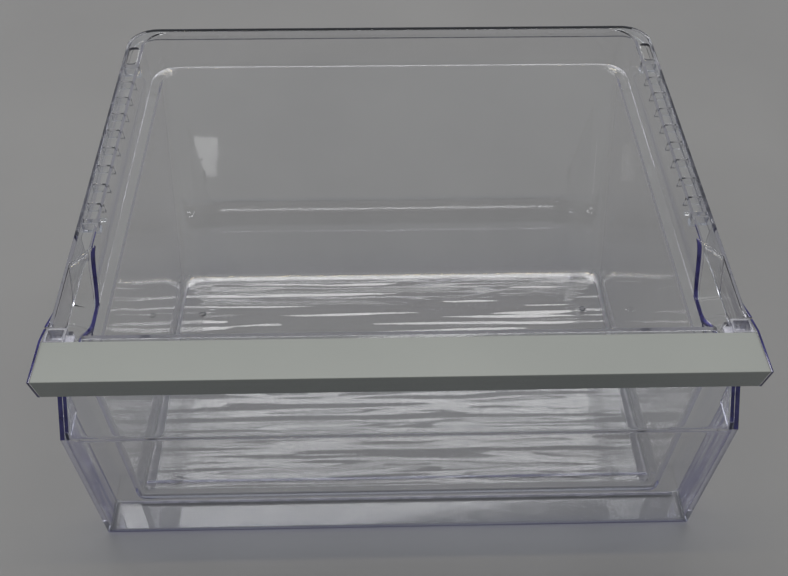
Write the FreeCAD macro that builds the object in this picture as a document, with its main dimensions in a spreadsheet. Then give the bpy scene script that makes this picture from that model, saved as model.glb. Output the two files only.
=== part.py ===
import FreeCAD, Part
import math
import os
import re
import Sketcher

# Crisper drawer of a refrigerator: a clear tub, a clear front cover, a clear handle hood
# with a finger recess, a grey trim strip and two clear corner blocks.
# Lengths are in millimetres. X runs across, Y runs from front to back, Z runs up.
# Sketches count Y from the front face of the cover and Z from the table.
# Every piece is then moved back by half the depth, so that the origin lies under
# the middle of the drawer.

SIZES = {
    # the whole drawer: the trim's half width, the depth and the height of the rim
    "trim_half": 215,
    "drawer_depth": 359,
    "rim_level": 180.2,
    "wall": 2.5,
    "fit_gap": 0.3,
    # the tub's lower bin
    "bin_front": 24,
    "ledge_drop": 33.7,
    "ledge_width_front": 7.2,
    "ledge_width_side": 8.2,
    "ledge_width_back": 4.22,
    "ledge_rise": 2.5,
    "side_taper_front": 2.5,
    "side_taper_back": 6.5,
    "floor_round_front": 11,
    "floor_round_side": 3,
    "floor_round_back": 12,
    "back_lean": 35,
    "bin_corner_front": 5,
    "bin_corner_back": 14,
    # the tub's upper band, rim flange and lip
    "band_spread": 1.3,
    "band_back_spread": 5,
    "band_back_inset": 9,
    "band_corner_back": 18,
    "flange_inset": 1.6,
    "flange_width": 15.2,
    "flange_thick": 2.2,
    "flange_front": 44.3,
    "flange_corner": 22,
    "lip_thick": 2.2,
    "lip_drop": 9,
    # ribs, end walls, front hooks and rear slots of the flanges
    "rib_count": 8,
    "rib_pitch": 19.5,
    "rib_thick": 1.6,
    "stop_front": 133,
    "stop_thick": 5,
    "stop_to_rib": 14,
    "hook_reach": 3,
    "slot_length": 22,
    "slot_width": 8,
    "slot_corner": 2.7,
    # the dips in the flanges behind the handle
    "dip_inner_rise": 2,
    "dip_inner_start": 68.7,
    "dip_inner_end": 39.7,
    "dip_inner_ramp": 29.7,
    "dip_inner_climb": 14,
    "dip_outer_rise": 12.5,
    "dip_outer_start": 51.7,
    "dip_outer_end": 33.7,
    "dip_outer_ramp": 22.7,
    "dip_outer_climb": 8,
    "dip_cheek_length": 81.7,
    "gusset_length": 11,
    "gusset_spread": 2.8,
    # round marks on the floor
    "mark_inset": 22.4,
    "mark_front": 43.9,
    "mark_span": 156.9,
    "mark_radius": 2.75,
    "mark_rise": 0.4,
    # the front cover
    "cover_inset": 1.4,
    "cover_taper": 3,
    "cover_thick": 3,
    "cover_lap": 0.5,
    "cover_corner": 5,
    "crease_drop": 53.8,
    "slope_lean": 40,
    # the handle hood
    "hood_drop": 3.4,
    "hood_thick": 2,
    "hood_back": 38.4,
    "hood_lip_thick": 1.5,
    "recess_thick": 2.3,
    "rear_lip_drop": 9,
    "ear_thick": 2.4,
    "grip_depth": 7,
    "grip_thick": 1.8,
    "cheek_thick": 1.5,
    # the trim strip
    "trim_front": 1.7,
    "trim_back": 32.1,
    "trim_thick": 2.7,
    "trim_back_drop": 1,
    "trim_height": 20.1,
    "trim_lean": 11.8,
    "trim_lip_thick": 2.05,
    "trim_edge": 0.8,
    # the corner blocks
    "block_height": 10.2,
    "block_rise": 0.7,
    "block_wall": 1.6,
    "block_floor": 2,
    "catch_width": 5.5,
    "catch_length": 6,
    "catch_thick": 1.8,
}

# Places that follow from the sizes above.
PLACES = {
    "flange_half": "trim_half - flange_inset",
    "band_half": "flange_half - flange_width",
    "band_back": "drawer_depth - band_back_inset",
    "ledge_level": "rim_level - ledge_drop",
    "ledge_half_front": "band_half - ledge_width_front",
    "ledge_half_back": "band_half - ledge_width_side",
    "ledge_back": "band_back - ledge_width_back",
    "floor_front_half": "ledge_half_front - side_taper_front - floor_round_side",
    "floor_back_half": "ledge_half_back - side_taper_back - floor_round_side",
    "back_bend_rise": "floor_round_back * (1 - sin(back_lean))",
    "back_wall_rise": "ledge_level - wall - back_bend_rise",
    "back_wall_run": "floor_round_back * cos(back_lean) + back_wall_rise * tan(back_lean)",
    "floor_back": "ledge_back - back_wall_run",
    "rib_first": "stop_front + stop_thick + stop_to_rib",
    "stop_back": "rib_first + rib_pitch * rib_count - rib_thick",
    "slot_inset": "lip_thick + slot_width / 2 + fit_gap * 2",
    "dip_inner_low": "ledge_level + dip_inner_rise",
    "dip_outer_low": "ledge_level + dip_outer_rise",
    "dip_inner_front": "dip_inner_low + dip_inner_climb",
    "dip_outer_front": "dip_outer_low + dip_outer_climb",
    "dip_cheek_back": "flange_front + dip_cheek_length",
    "mark_across": "floor_front_half - mark_inset",
    "mark_back": "mark_front + mark_span",
    "cover_half": "flange_half - cover_inset",
    "cover_half_base": "cover_half - cover_taper",
    "cover_depth": "bin_front + wall + cover_lap",
    "hood_level": "rim_level - hood_drop",
    "crease_level": "hood_level - crease_drop",
    "trim_top": "hood_level + hood_thick + fit_gap / 3 + trim_thick",
    "trim_bottom": "trim_top - trim_height",
    "cheek_back": "flange_front - fit_gap",
    "block_front": "trim_back + fit_gap * 3",
    "block_top": "hood_level + hood_thick + block_rise",
    "block_level": "block_top - block_height",
}

doc = FreeCAD.newDocument("crisper_drawer")
sheet = doc.addObject("Spreadsheet::Sheet", "Sizes")
for row, (name, value) in enumerate(SIZES.items(), start=1):
    sheet.set(f"A{row}", name)
    sheet.set(f"B{row}", str(value))
    sheet.setAlias(f"B{row}", name)
doc.recompute()


def sized(text):
    """An expression with each size's name tied to its cell of the sheet."""
    return re.sub(r"[a-z]+(?:_[a-z]+)*", lambda word: tied(word.group()), str(text))


def tied(word):
    if word in PLACES:
        return f"({sized(PLACES[word])})"
    return f"Sizes.{word}" if word in SIZES else word


def number(text):
    """The present value of an expression."""
    return float(sheet.evalExpression(sized(text)))


def new_body(name):
    return doc.addObject("PartDesign::Body", name)


def move_back(piece):
    """Move a finished piece so that the origin lies under the middle of the drawer."""
    piece.setExpression(".Placement.Base.y", sized("-drawer_depth / 2"))


def new_sketch(body, name, plane, level=0):
    """A sketch on one of the body's own planes, raised by a level along its normal."""
    sketch = body.newObject("Sketcher::SketchObject", name)
    for feature in body.Origin.OriginFeatures:
        if feature.Role == plane:
            sketch.AttachmentSupport = [(feature, "")]
    sketch.MapMode = "FlatFace"
    sketch.setExpression(".AttachmentOffset.Base.z", sized(level))
    return sketch


def pin_point(sketch, shape, end, across, along):
    """Fix a point of a sketch by two expressions, measured from the sketch's origin."""
    for kind, text, axis in (("DistanceX", across, -2), ("DistanceY", along, -1)):
        value = number(text)
        if str(text) == "0":
            sketch.addConstraint(Sketcher.Constraint("PointOnObject", shape, end, axis))
        else:
            index = sketch.addConstraint(Sketcher.Constraint(kind, -1, 1, shape, end, value))
            sketch.setExpression(f"Constraints[{index}]", sized(text))


def flat(across, along):
    return FreeCAD.Vector(across, along, 0)


def draw_outline(sketch, corners):
    """A closed outline. Each corner is (across, along) or (across, along, radius)."""
    count = len(corners)
    places = [flat(number(corner[0]), number(corner[1])) for corner in corners]
    radii = [number(corner[2]) if len(corner) > 2 else 0 for corner in corners]
    starts = []
    ends = []
    arcs = []
    for index, place in enumerate(places):
        to_last = (places[index - 1] - place).normalize()
        to_next = (places[(index + 1) % count] - place).normalize()
        half_turn = to_last.getAngle(to_next) / 2
        reach = radii[index] / math.tan(half_turn)
        ends.append(place + to_last * reach)
        starts.append(place + to_next * reach)
        middle = (to_last + to_next).normalize()
        centre = place + middle * (radii[index] / math.sin(half_turn))
        arcs.append((centre, centre - middle * radii[index]))
    lines = []
    for index in range(count):
        side = Part.LineSegment(starts[index], ends[(index + 1) % count])
        lines.append(sketch.addGeometry(side, False))
    for index, corner in enumerate(corners):
        before = lines[index - 1]
        after = lines[index]
        if radii[index] == 0:
            sketch.addConstraint(Sketcher.Constraint("Coincident", before, 2, after, 1))
            pin_point(sketch, after, 1, corner[0], corner[1])
            continue
        bend = Part.Arc(ends[index], arcs[index][1], starts[index])
        turn = (places[index] - places[index - 1]).cross(places[(index + 1) % count] - places[index])
        arc = sketch.addGeometry(bend, False)
        first, last = (1, 2) if turn.z > 0 else (2, 1)
        sketch.addConstraint(Sketcher.Constraint("Tangent", before, 2, arc, first))
        sketch.addConstraint(Sketcher.Constraint("Tangent", arc, last, after, 1))
        radius = sketch.addConstraint(Sketcher.Constraint("Radius", arc, radii[index]))
        sketch.setExpression(f"Constraints[{radius}]", sized(corner[2]))
        peak = sketch.addGeometry(Part.Point(places[index]), True)
        pin_point(sketch, peak, 1, corner[0], corner[1])
        sketch.addConstraint(Sketcher.Constraint("PointOnObject", peak, 1, before))
        sketch.addConstraint(Sketcher.Constraint("PointOnObject", peak, 1, after))
    return sketch


def draw_circle(sketch, across, along, radius):
    place = flat(number(across), number(along))
    ring = Part.Circle(place, FreeCAD.Vector(0, 0, 1), number(radius))
    index = sketch.addGeometry(ring, False)
    pin_point(sketch, index, 3, across, along)
    size = sketch.addConstraint(Sketcher.Constraint("Radius", index, number(radius)))
    sketch.setExpression(f"Constraints[{size}]", sized(radius))


def box_corners(left, right, near, far):
    """The four corners of an upright rectangle."""
    return [(left, near), (right, near), (right, far), (left, far)]


def pad(body, sketch, length, both_ways=False, downwards=False):
    """Material added from a sketch; both_ways spreads the length to either side."""
    feature = body.newObject("PartDesign::Pad", f"{sketch.Name}_pad")
    feature.Profile = sketch
    feature.setExpression(".Length", sized(length))
    feature.Midplane = both_ways
    feature.Reversed = downwards
    doc.recompute()
    return feature


def pocket(body, sketch, length, both_ways=False, upwards=False):
    """Material cut away below a sketch, checked to have cut something."""
    before = body.Shape.Volume
    feature = body.newObject("PartDesign::Pocket", f"{sketch.Name}_cut")
    feature.Profile = sketch
    feature.setExpression(".Length", sized(length))
    feature.Midplane = both_ways
    feature.Reversed = upwards
    doc.recompute()
    assert body.Shape.Volume < before - 1, f"{sketch.Name} cut nothing"
    return feature


def loft(body, kind, name, sketches):
    """A straight sided loft through sketches, added to the body or taken from it."""
    feature = body.newObject(kind, name)
    feature.Profile = sketches[0]
    feature.Sections = sketches[1:]
    feature.Ruled = True
    doc.recompute()
    return feature


# Lower bin. The inner and the outer skin are lofts through level outlines. Round edges
# between floor and walls are followed by outlines at equal steps of the arc.
ROUND_STEPS = 4

# Of a wall's thickness, this share shows above the ledge and the rest below it.
LEDGE_SHARE = 0.2


def bin_outline(body, name, grow, rise, half_front=None, half_back=None):
    """One level of the bin's skin, at a rise above the skin's own floor.

    grow is how far the skin lies outside the inner one.
    """
    front = f"(floor_round_front + {grow})"
    side = f"(floor_round_side + {grow})"
    back = f"(floor_round_back + {grow})"
    tangent = f"({back} * (1 - sin(back_lean)))"
    front_in = f"sqrt({front} ^ 2 - max({front} - {rise}; 0) ^ 2)"
    side_out = f"sqrt({side} ^ 2 - max({side} - {rise}; 0) ^ 2)"
    back_out = f"sqrt({back} ^ 2 - ({back} - min({rise}; {tangent})) ^ 2)"
    near = f"bin_front + wall + floor_round_front - {front_in}"
    far = f"floor_back + {back_out} + max({rise} - {tangent}; 0) * tan(back_lean)"
    front_half = half_front or f"floor_front_half + {side_out}"
    back_half = half_back or f"floor_back_half + {side_out}"
    sketch = new_sketch(body, name, "XY_Plane", f"wall - {grow} + {rise}")
    return draw_outline(sketch, [
        (f"-({front_half})", near, f"bin_corner_front + {grow}"),
        (front_half, near, f"bin_corner_front + {grow}"),
        (back_half, far, f"bin_corner_back + {grow}"),
        (f"-({back_half})", far, f"bin_corner_back + {grow}"),
    ])


def band_outline(body, name, grow, level, half, far):
    """One level of the upper band's skin, between the ledge and the rim."""
    near = f"bin_front + wall - {grow}"
    sketch = new_sketch(body, name, "XY_Plane", level)
    return draw_outline(sketch, [
        (f"-({half})", near, f"bin_corner_front + {grow}"),
        (half, near, f"bin_corner_front + {grow}"),
        (half, far, f"band_corner_back + {grow}"),
        (f"-({half})", far, f"band_corner_back + {grow}"),
    ])


def tub_skin(body, name, grow, top):
    """All level outlines of one skin, from the floor to the rim."""
    outlines = []
    for step in range(ROUND_STEPS + 1):
        angle = 90 * step / ROUND_STEPS
        rise = f"((floor_round_front + {grow}) * (1 - cos({angle})))"
        outlines.append(bin_outline(body, f"{name}_round_{step}", grow, rise))
    ledge = f"(ledge_level - wall + {grow} * {LEDGE_SHARE})"
    outlines.append(bin_outline(body, f"{name}_ledge", grow, ledge,
                                f"ledge_half_front + {grow}", f"ledge_half_back + {grow}"))
    foot = f"ledge_level + ledge_rise - {grow} * (1 - {LEDGE_SHARE})"
    outlines.append(band_outline(body, f"{name}_band_foot", grow, foot,
                                 f"band_half + {grow}", f"band_back + {grow}"))
    outlines.append(band_outline(body, f"{name}_band_top", grow, top,
                                 f"band_half + band_spread + {grow}",
                                 f"band_back + band_back_spread + {grow}"))
    return outlines


def rim_outline(sketch, inset, near):
    """The rim's plan, square in front and rounded at the back corners."""
    half = f"flange_half - {inset}"
    far = f"drawer_depth - {inset}"
    return draw_outline(sketch, [
        (f"-({half})", near),
        (half, near),
        (half, far, f"flange_corner - {inset}"),
        (f"-({half})", far, f"flange_corner - {inset}"),
    ])


def make_tub_shell():
    """The tub before its flanges are dipped behind the handle."""
    body = new_body("tub_shell")
    loft(body, "PartDesign::AdditiveLoft", "bin_outside", tub_skin(body, "outside", "wall", "rim_level"))

    flange = rim_outline(new_sketch(body, "flange", "XY_Plane", "rim_level"), "0", "flange_front")
    pad(body, flange, "flange_thick", downwards=True)

    # Front plate, which the cover's returns close around.
    plate_half_base = "cover_half_base - cover_thick - fit_gap"
    plate_half = "cover_half - cover_thick - fit_gap"
    plate = new_sketch(body, "front_plate", "XZ_Plane", "-bin_front - wall")
    draw_outline(plate, [
        (f"-({plate_half_base})", "cover_thick + fit_gap", "cover_corner"),
        (plate_half_base, "cover_thick + fit_gap", "cover_corner"),
        (plate_half, "crease_level"),
        (plate_half, "hood_level - fit_gap"),
        (f"-({plate_half})", "hood_level - fit_gap"),
        (f"-({plate_half})", "crease_level"),
    ])
    pad(body, plate, "wall")

    # The walls in front of the flange end under the hood.
    lowered = new_sketch(body, "lowered_walls", "XY_Plane", "hood_level - fit_gap")
    draw_outline(lowered, box_corners("-flange_half", "flange_half", "0", "flange_front"))
    pocket(body, lowered, "rim_level", upwards=True)

    before = body.Shape.Volume
    loft(body, "PartDesign::SubtractiveLoft", "bin_inside",
         tub_skin(body, "inside", "0", "rim_level + fit_gap"))
    assert body.Shape.Volume < before / 2, "the bin is not hollow"

    # Lip round the rim: a plate on each side, a deeper one beside each dip, one at the back.
    lip = new_sketch(body, "lip", "XY_Plane", "rim_level")
    rim_outline(lip, "0", "flange_front")
    rim_outline(lip, "lip_thick", "flange_front + lip_thick")
    pad(body, lip, "lip_drop", downwards=True)
    return body


def make_tub_details(body):
    """Ribs, end walls, hooks, slots, dip cheeks, gussets and floor marks of the tub."""
    inner = "band_half + wall"
    outer = "flange_half - lip_thick / 2"
    under = "rim_level - flange_thick / 2"

    # The lip's front bar lies across the open bin and is cut out again.
    bar = new_sketch(body, "front_bar", "XY_Plane", "rim_level - lip_drop")
    draw_outline(bar, box_corners("-(band_half + wall / 2)", "band_half + wall / 2",
                                  "flange_front - fit_gap", "flange_front + lip_thick + fit_gap"))
    pocket(body, bar, "lip_drop + fit_gap", upwards=True)

    first_rib = new_sketch(body, "rib", "XY_Plane", under)
    near = "rib_first"
    far = "rib_first + rib_thick"
    draw_outline(first_rib, box_corners(inner, outer, near, far))
    draw_outline(first_rib, box_corners(f"-({outer})", f"-({inner})", near, far))
    rib = pad(body, first_rib, "lip_drop - flange_thick", downwards=True)
    row = body.newObject("PartDesign::LinearPattern", "rib_row")
    row.Originals = [rib]
    row.Direction = (first_rib, ["V_Axis"])
    row.setExpression(".Length", sized("rib_pitch * (rib_count - 1)"))
    row.setExpression(".Occurrences", sized("rib_count"))
    body.Tip = row
    doc.recompute()

    for name, place in (("stop_walls", "stop_front"), ("slot_walls", "stop_back")):
        walls = new_sketch(body, name, "XY_Plane", under)
        far = f"{place} + stop_thick"
        draw_outline(walls, box_corners(inner, outer, place, far))
        draw_outline(walls, box_corners(f"-({outer})", f"-({inner})", place, far))
        pad(body, walls, "lip_drop - flange_thick / 2", downwards=True)

    hook = new_sketch(body, "hooks", "XY_Plane", "rim_level")
    hook_tip = "band_half - hook_reach"
    near = "stop_front + stop_thick / 2"
    far = "stop_front + stop_thick"
    draw_outline(hook, box_corners(hook_tip, inner, near, far))
    draw_outline(hook, box_corners(f"-({inner})", f"-({hook_tip})", near, far))
    pad(body, hook, "flange_thick", downwards=True)

    slots = new_sketch(body, "rear_slots", "XY_Plane", "rim_level")
    slot_near = "stop_back + stop_thick"
    slot_far = f"{slot_near} + slot_length"
    for side in ("", "-"):
        low = f"{side}(flange_half - slot_inset - slot_width / 2)"
        high = f"{side}(flange_half - slot_inset + slot_width / 2)"
        corners = [(low, slot_near), (high, slot_near),
                   (high, slot_far, "slot_corner"), (low, slot_far, "slot_corner")]
        draw_outline(slots, corners if side == "" else corners[::-1])
    pocket(body, slots, "flange_thick + fit_gap")

    cheeks = new_sketch(body, "dip_cheeks", "XY_Plane", "rim_level")
    low = "flange_half - lip_thick"
    draw_outline(cheeks, box_corners(low, "flange_half", "flange_front", "dip_cheek_back"))
    draw_outline(cheeks, box_corners("-flange_half", f"-({low})", "flange_front", "dip_cheek_back"))
    pad(body, cheeks, "rim_level - dip_outer_low + flange_thick", downwards=True)

    gussets = new_sketch(body, "gussets", "XY_Plane", "rim_level")
    tip = "flange_half + gusset_spread"
    back = "flange_front + gusset_length"
    corners = [(f"{tip} - lip_thick", "flange_front"), (tip, "flange_front"),
               ("flange_half", back), ("flange_half - lip_thick / 2", back)]
    draw_outline(gussets, corners)
    draw_outline(gussets, [(f"-({across})", along) for across, along in reversed(corners)])
    pad(body, gussets, "rim_level - dip_outer_front", downwards=True)

    marks = new_sketch(body, "floor_marks", "XY_Plane", "wall / 2")
    for across in ("mark_across", "-mark_across"):
        for along in ("mark_front", "mark_back"):
            draw_circle(marks, across, along, "mark_radius")
    pad(body, marks, "wall / 2 + mark_rise")
    return body


# Dips. Each flange drops behind the handle in an S curve, deeper at its inner edge than
# at its outer one. The S curve is half a cosine wave.
WAVE_STEPS = 8


def wave(across, start, end, high, low):
    """A half cosine wave from start to end, as one smooth edge."""
    points = []
    for step in range(WAVE_STEPS + 1):
        share = step / WAVE_STEPS
        along = start + (end - start) * share
        level = high + (low - high) * (1 - math.cos(math.pi * share)) / 2
        points.append(FreeCAD.Vector(across, along, level))
    curve = Part.BSplineCurve()
    curve.interpolate(points)
    return curve.toShape()


def dip_edges(across, edge, lowered):
    """The dip's run from its back to the flange's front end, at the inner or outer edge."""
    rim = number("rim_level") - lowered
    low = number(f"dip_{edge}_low") - lowered
    front = number(f"dip_{edge}_front") - lowered
    stop = number("flange_front")
    start = stop + number(f"dip_{edge}_start")
    end = stop + number(f"dip_{edge}_end")
    ramp = stop + number(f"dip_{edge}_ramp")
    bottom = Part.LineSegment(FreeCAD.Vector(across, end, low), FreeCAD.Vector(across, ramp, low))
    return [wave(across, start, end, rim, low), bottom.toShape(), wave(across, ramp, stop, low, front)]


def closed_by(edges, points):
    """A closed wire of edges that run on from each other, finished through points."""
    first = edges[0].Vertexes[0].Point
    last = edges[-1].Vertexes[-1].Point
    route = [last] + points + [first]
    rest = [Part.makeLine(near, far) for near, far in zip(route, route[1:])]
    return Part.Wire(edges + rest)


def dip_cutter_section(across, edge):
    """The space above the dip, at one of its two edges."""
    clear = number("rim_level + wall")
    front = FreeCAD.Vector(across, number("flange_front"), clear)
    back = FreeCAD.Vector(across, number(f"flange_front + dip_{edge}_start"), clear)
    return closed_by(dip_edges(across, edge, 0), [front, back])


def dip_floor_section(across, edge):
    """The dipped flange's own thickness, at one of its two edges."""
    thick = number("flange_thick")
    above = dip_edges(across, edge, 0)
    below = dip_edges(across, edge, thick)
    turned = [piece.reversed() for piece in reversed(below)]
    front = Part.makeLine(above[-1].Vertexes[-1].Point, below[-1].Vertexes[-1].Point)
    back = Part.makeLine(below[0].Vertexes[0].Point, above[0].Vertexes[0].Point)
    return Part.Wire(above + [front] + turned + [back])


def dip_solid(name, section, side):
    """A solid between the dip's inner and outer edges on one side of the tub."""
    inner = side * number("band_half - fit_gap")
    outer = side * number("flange_half - lip_thick")
    solid = Part.makeLoft([section(inner, "inner"), section(outer, "outer")], True, True)
    piece = doc.addObject("Part::Feature", name)
    piece.Shape = solid
    return piece


def make_tub():
    """The whole tub: the shell, less the space above each dip, plus the dipped flanges."""
    shell = make_tub_details(make_tub_shell())
    cutters = [dip_solid(f"{word}_dip_space", dip_cutter_section, side)
               for word, side in (("left", -1), ("right", 1))]
    floors = [dip_solid(f"{word}_dip_floor", dip_floor_section, side)
              for word, side in (("left", -1), ("right", 1))]
    space = doc.addObject("Part::MultiFuse", "dip_spaces")
    space.Shapes = cutters
    dipped = doc.addObject("Part::Cut", "dipped_shell")
    dipped.Base = shell
    dipped.Tool = space
    tub = doc.addObject("Part::MultiFuse", "tub")
    tub.Shapes = [dipped] + floors
    move_back(tub)
    return tub


def slope_level(along):
    """The height of the sloped front above the crease, at a distance from the front."""
    return f"crease_level + ({along}) / tan(slope_lean)"


def make_front_cover():
    """A shallow clear tray: bent front plate, two side returns and a bottom return."""
    body = new_body("front_cover")
    outside = new_sketch(body, "cover_front", "XZ_Plane")
    top = "hood_level - fit_gap"
    draw_outline(outside, [
        ("-cover_half_base", "0"),
        ("cover_half_base", "0"),
        ("cover_half", "crease_level"),
        ("cover_half", top),
        ("-cover_half", top),
        ("-cover_half", "crease_level"),
    ])
    pad(body, outside, "cover_depth", downwards=True)

    hollow = new_sketch(body, "cover_hollow", "XZ_Plane", "-cover_thick")
    half_base = "cover_half_base - cover_thick"
    half = "cover_half - cover_thick"
    draw_outline(hollow, [
        (f"-({half_base})", "cover_thick", "cover_corner"),
        (half_base, "cover_thick", "cover_corner"),
        (half, "crease_level"),
        (half, "rim_level"),
        (f"-({half})", "rim_level"),
        (f"-({half})", "crease_level"),
    ])
    pocket(body, hollow, "cover_depth")

    # Above the crease the front leans back and only the returns go on.
    slope = new_sketch(body, "cover_slope", "YZ_Plane")
    seat = "bin_front - fit_gap"
    draw_outline(slope, [
        ("-cover_thick", slope_level("-cover_thick")),
        (seat, slope_level(seat)),
        (seat, "rim_level"),
        ("-cover_thick", "rim_level"),
    ])
    pocket(body, slope, "cover_half * 2 + cover_thick", both_ways=True)

    # The front plate is bent at the crease and runs up the slope, between the hood's ears.
    panel = new_sketch(body, "sloped_panel", "YZ_Plane")
    steep = "cover_thick / sin(slope_lean)"
    panel_back = "bin_front - recess_thick - fit_gap * 2"
    draw_outline(panel, [
        ("0", "crease_level - cover_thick"),
        ("cover_thick", "crease_level - cover_thick"),
        ("cover_thick", f"{slope_level('cover_thick')} - {steep}"),
        (panel_back, f"{slope_level(panel_back)} - {steep}"),
        (panel_back, slope_level(panel_back)),
        ("0", "crease_level"),
    ])
    pad(body, panel, "(cover_half - cover_thick - ear_thick - fit_gap * 2) * 2", both_ways=True)
    move_back(body)
    return body


def make_handle_hood():
    """The clear moulding that carries the trim and holds the finger recess."""
    body = new_body("handle_hood")
    half = "cover_half - cover_thick - fit_gap"
    back = "bin_front - fit_gap"
    face = "bin_front - fit_gap - recess_thick"
    plate_top = "hood_level + hood_thick"
    first = "cover_thick + fit_gap"

    # Back wall of the finger recess.
    recess = new_sketch(body, "recess", "YZ_Plane")
    recess_low = f"{slope_level(face)} - recess_thick"
    draw_outline(recess, box_corners(face, back, recess_low, plate_top))
    pad(body, recess, f"({half}) * 2", both_ways=True)

    # Top plate, wide over its whole length in front and narrower behind the trim.
    plate = new_sketch(body, "top_plate", "XY_Plane", "hood_level")
    wide = "trim_half + fit_gap / 2 + cheek_thick"
    narrow = "band_half - catch_width"
    step = "block_front - fit_gap"
    lip_back = "trim_front + (trim_top - hood_level) * tan(trim_lean) + trim_lip_thick + fit_gap"
    draw_outline(plate, [
        (f"-({wide})", lip_back),
        (wide, lip_back),
        (wide, step),
        (narrow, step),
        (narrow, "hood_back"),
        (f"-({narrow})", "hood_back"),
        (f"-({narrow})", step),
        (f"-({wide})", step),
    ])
    pad(body, plate, "hood_thick")

    # Lip behind the trim's own lip.
    front_lip = new_sketch(body, "front_lip", "YZ_Plane")
    low = "trim_bottom + hood_lip_thick"
    low_place = f"trim_front + (trim_top - ({low})) * tan(trim_lean) + trim_lip_thick + fit_gap"
    draw_outline(front_lip, [
        (lip_back, plate_top),
        (low_place, low),
        (f"{low_place} + hood_lip_thick", low),
        (f"{lip_back} + hood_lip_thick", plate_top),
    ])
    pad(body, front_lip, "trim_half * 2", both_ways=True)

    # Rear lip, and a rib that hooks behind the tub's front wall.
    for name, near, thick, drop in (
        ("rear_lip", "hood_back - hood_thick", "hood_thick", "rear_lip_drop"),
        ("grip_rib", "bin_front + wall + fit_gap", "grip_thick", "grip_depth"),
    ):
        sketch = new_sketch(body, name, "YZ_Plane")
        draw_outline(sketch, box_corners(near, f"{near} + {thick}", f"hood_level - {drop}", plate_top))
        pad(body, sketch, f"({narrow}) * 2", both_ways=True)

    # Ears: side webs that stand beside the sloped panel.
    ear_low = "crease_level - ear_thick"
    for side in ("", "-"):
        word = "left" if side else "right"
        inside = "cover_half - cover_thick - fit_gap - ear_thick"
        level = f"-({half})" if side else inside
        ear = new_sketch(body, f"{word}_ear", "YZ_Plane", level)
        draw_outline(ear, [
            (first, ear_low),
            (back, ear_low),
            (back, slope_level(back)),
            (first, slope_level(first)),
        ])
        pad(body, ear, "ear_thick")

    # Cheeks over the trim's cut ends.
    cheek_inside = "trim_half + fit_gap / 2"
    crest = "trim_top + fit_gap"
    foot = "trim_bottom"
    front_top = "trim_front - fit_gap"
    front_foot = f"{front_top} + (trim_top - {foot}) * tan(trim_lean)"
    for side in ("", "-"):
        word = "left" if side else "right"
        level = f"-({wide})" if side else cheek_inside
        cheek = new_sketch(body, f"{word}_cheek", "YZ_Plane", level)
        draw_outline(cheek, [
            (front_top, crest),
            (front_foot, foot),
            (f"{front_foot} + trim_lip_thick + hood_lip_thick + fit_gap", foot),
            (f"{lip_back} + hood_lip_thick", "hood_level"),
            ("cheek_back", "hood_level"),
            ("cheek_back", plate_top),
            ("trim_back", crest),
        ])
        pad(body, cheek, "cheek_thick")
    move_back(body)
    return body


def make_handle_trim():
    """The grey strip: a flat top that falls a little to the back, and a leaning lip."""
    body = new_body("handle_trim")
    section = new_sketch(body, "trim_section", "YZ_Plane")
    inner_level = "hood_level + hood_thick + fit_gap / 3"
    lean = "tan(trim_lean)"
    foot = f"trim_front + (trim_top - trim_bottom) * {lean}"
    inner = f"trim_front + (trim_top - ({inner_level})) * {lean} + trim_lip_thick"
    draw_outline(section, [
        ("trim_front", "trim_top", "trim_edge"),
        (foot, "trim_bottom"),
        (f"{foot} + trim_lip_thick", "trim_bottom"),
        (inner, inner_level),
        ("trim_back", inner_level),
        ("trim_back", "trim_top - trim_back_drop"),
    ])
    pad(body, section, "trim_half * 2", both_ways=True)
    move_back(body)
    return body


def make_corner_block(word, side):
    """A hollow clear block behind the trim's end, with a catch over the tub's side wall."""
    body = new_body(f"{word}_corner_block")
    low = "band_half + band_spread + wall + fit_gap"
    high = "trim_half - fit_gap / 2"
    far = "flange_front - fit_gap"
    shell = new_sketch(body, f"{word}_block", "XY_Plane", "block_level")
    hole = new_sketch(body, f"{word}_block_hollow", "XY_Plane", "block_top")
    catch = new_sketch(body, f"{word}_catch", "XY_Plane", "hood_level")
    plans = (
        (shell, (low, high, "block_front", far)),
        (hole, (f"{low} + block_wall", f"{high} - block_wall",
                "block_front + block_wall", f"{far} - block_wall")),
        (catch, (f"{low} - catch_width", f"{low} + block_wall / 2",
                 "block_front", "block_front + catch_length")),
    )
    for sketch, (left, right, near, back) in plans:
        if side < 0:
            left, right = f"-({right})", f"-({left})"
        draw_outline(sketch, box_corners(left, right, near, back))
    pad(body, shell, "block_top - block_level")
    pocket(body, hole, "block_top - block_level - block_floor")
    pad(body, catch, "catch_thick")
    move_back(body)
    return body


pieces = [
    make_tub(),
    make_front_cover(),
    make_handle_hood(),
    make_handle_trim(),
    make_corner_block("left", -1),
    make_corner_block("right", 1),
]
doc.recompute()

for item in doc.Objects:
    assert "Invalid" not in item.State, f"{item.Name} is invalid"
    assert "Error" not in item.State, f"{item.Name} has an error"

os.makedirs("parts", exist_ok=True)
for piece in pieces:
    shape = piece.Shape
    assert not shape.isNull(), f"{piece.Label} is empty"
    assert shape.isValid(), f"{piece.Label} is not valid"
    assert len(shape.Solids) == 1, f"{piece.Label} has {len(shape.Solids)} solids"
    shape.exportStep(f"parts/{piece.Label}.step")
    box = shape.BoundBox
    print(f"{piece.Label}: {box.XLength:.1f} x {box.YLength:.1f} x {box.ZLength:.1f} mm,"
          f" {shape.Volume / 1000:.1f} cm3")
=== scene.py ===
# %% [markdown]
# # A clear crisper drawer
#
# This lesson dresses the drawer that was drawn in CAD. The drawer is a see-through bin with
# a wide rim, a shallow clear cover over its front, a clear hood with a finger recess behind
# a grey strip, and two small clear blocks behind the strip's ends. The whole drawer slides
# as one piece, so nothing on it moves by itself.
#
# Lengths are written in millimetres and turned into metres by one helper. X runs across,
# Y runs from the front to the back, and Z runs up.

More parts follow.
